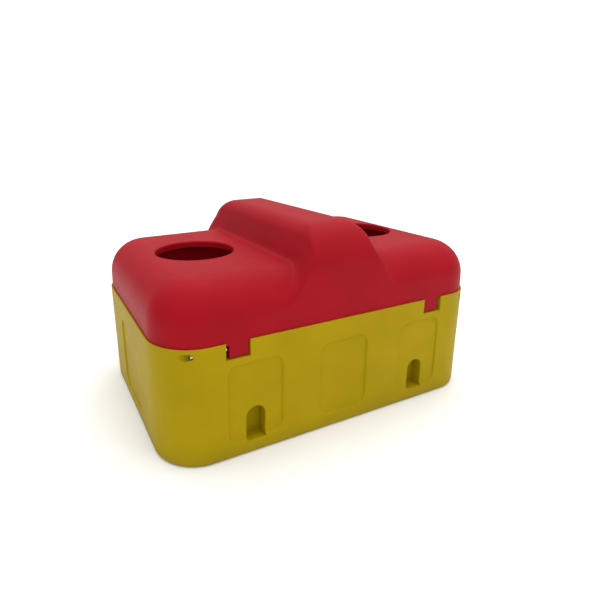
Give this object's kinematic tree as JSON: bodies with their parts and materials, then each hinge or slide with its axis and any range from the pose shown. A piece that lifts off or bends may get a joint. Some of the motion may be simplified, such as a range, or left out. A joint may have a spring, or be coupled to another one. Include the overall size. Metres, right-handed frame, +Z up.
{
  "type": "livestock water trough",
  "caption": "Insulated ball drinker: a double-wall trough whose float balls close round drinking holes in a ridged, pinned lift-off lid, filled by a float valve.",
  "frame": {"origin": "centre of the footprint, on the floor", "axes": "+X along the trough to the drain end, +Z up; the front, with the anchor pockets in view, looks along -Y"},
  "size_m": [1.15, 0.78, 0.64],
  "materials": {
    "yellow_shell": "satin",
    "red_shell": "satin",
    "ball": "satin",
    "foam": "matte",
    "black_plastic": "matte",
    "white_plastic": "satin",
    "rubber": "matte",
    "brass": "brushed",
    "stainless": "brushed"
  },
  "bodies": {
    "trough": {"base_shell": "yellow_shell", "base_foam": "foam", "foam_plug_front": "black_plastic", "foam_plug_rear": "black_plastic", "floor_gland": "brass", "gland_seal": "rubber", "gland_washer": "white_plastic", "gland_nut": "brass", "riser_pipe": "stainless", "riser_nut": "brass", "valve_tail_nut": "brass", "riser_clamp": "stainless", "clamp_screws": "stainless", "valve_body": "brass", "valve_nozzle": "white_plastic", "lever_pin": "stainless", "drain_bush": "black_plastic"},
    "lid": {"lid_shell": "red_shell", "lid_foam": "foam", "lid_gasket": "rubber", "lid_fill_plug": "black_plastic"},
    "ball_left": {"float_ball_left": "ball", "ball_plug_left": "black_plastic"},
    "ball_right": {"float_ball_right": "ball", "ball_plug_right": "black_plastic"},
    "pin_fl": {"lock_pin_fl": "stainless"},
    "pin_fr": {"lock_pin_fr": "stainless"},
    "pin_rl": {"lock_pin_rl": "stainless"},
    "pin_rr": {"lock_pin_rr": "stainless"},
    "lever": {"lever_arm": "brass", "valve_float": "white_plastic", "float_nuts": "stainless"},
    "plunger": {"valve_plunger": "brass", "valve_washer": "rubber"},
    "drain": {"drain_plug": "black_plastic", "drain_seal": "rubber"}
  },
  "joints": [
    {"name": "lid_lift", "type": "slide", "parent": "trough", "child": "lid", "axis": [0, 0, 1], "range_m": [0, 0.3]},
    {"name": "ball_left_float", "type": "slide", "parent": "trough", "child": "ball_left", "axis": [0, 0, 1], "range_m": [0, 0.05]},
    {"name": "ball_right_float", "type": "slide", "parent": "trough", "child": "ball_right", "axis": [0, 0, 1], "range_m": [0, 0.05]},
    {"name": "pin_fl_slide", "type": "slide", "parent": "trough", "child": "pin_fl", "axis": [1, 0, 0], "range_m": [0, 0.076]},
    {"name": "pin_fr_slide", "type": "slide", "parent": "trough", "child": "pin_fr", "axis": [-1, 0, 0], "range_m": [0, 0.076]},
    {"name": "pin_rl_slide", "type": "slide", "parent": "trough", "child": "pin_rl", "axis": [1, 0, 0], "range_m": [0, 0.076]},
    {"name": "pin_rr_slide", "type": "slide", "parent": "trough", "child": "pin_rr", "axis": [-1, 0, 0], "range_m": [0, 0.076]},
    {"name": "lever_swing", "type": "hinge", "parent": "trough", "child": "lever", "pos_m": [0, 0.024, 0.378], "axis": [-1, 0, 0], "range_deg": [0, 38]},
    {"name": "plunger_slide", "type": "slide", "parent": "trough", "child": "plunger", "axis": [0, 1, 0], "range_m": [0, 0.0118]},
    {"name": "drain_pull", "type": "slide", "parent": "trough", "child": "drain", "axis": [1, 0, 0], "range_m": [0, 0.15]}
  ],
  "couplings": [
    {"joint": "plunger_slide", "follows": "lever_swing", "m_per_rad": 0.01765}
  ]
}
